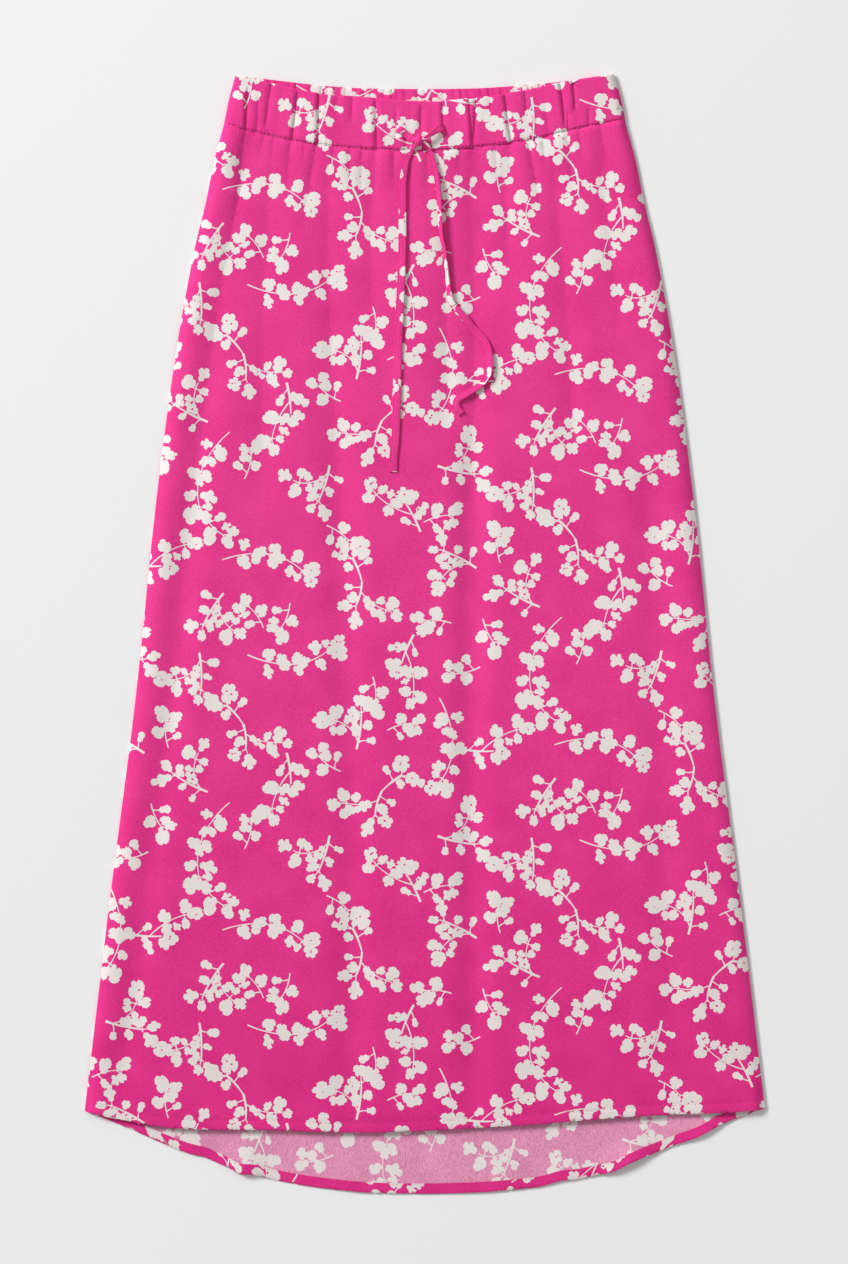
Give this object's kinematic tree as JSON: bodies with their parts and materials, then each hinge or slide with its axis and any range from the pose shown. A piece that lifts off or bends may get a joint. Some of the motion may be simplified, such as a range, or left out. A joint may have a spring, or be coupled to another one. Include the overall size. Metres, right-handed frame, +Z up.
{
  "type": "maxi skirt",
  "caption": "Long A-line skirt laid flat: gathered elastic waistband with a knotted self-fabric tie, soft folds, and a back hem curving lower than the front.",
  "frame": {"origin": "bottom centre of the skirt's box, on the surface it lies on", "axes": "+X to the right of someone looking down on the front, +Y towards the waist, +Z up off the surface"},
  "size_m": [0.6264, 1.03, 0.0118],
  "materials": {
    "printed_crepe": "matt crepe, bright pink printed with off-white blossom sprigs, paler on the wrong side",
    "hem_crepe": "matt crepe, turned up and stitched",
    "tie_crepe": "matt crepe, folded and stitched into a narrow flat tie"
  },
  "bodies": {
    "root": {"front_panel": "printed_crepe", "back_panel": "printed_crepe", "front_waistband": "printed_crepe", "back_waistband": "printed_crepe", "front_hem": "hem_crepe", "back_hem": "hem_crepe", "tie_link_left": "tie_crepe", "tie_link_right": "tie_crepe", "tie_knot": "tie_crepe", "tie_tail_left": "tie_crepe", "tie_tail_right": "tie_crepe"}
  },
  "joints": []
}
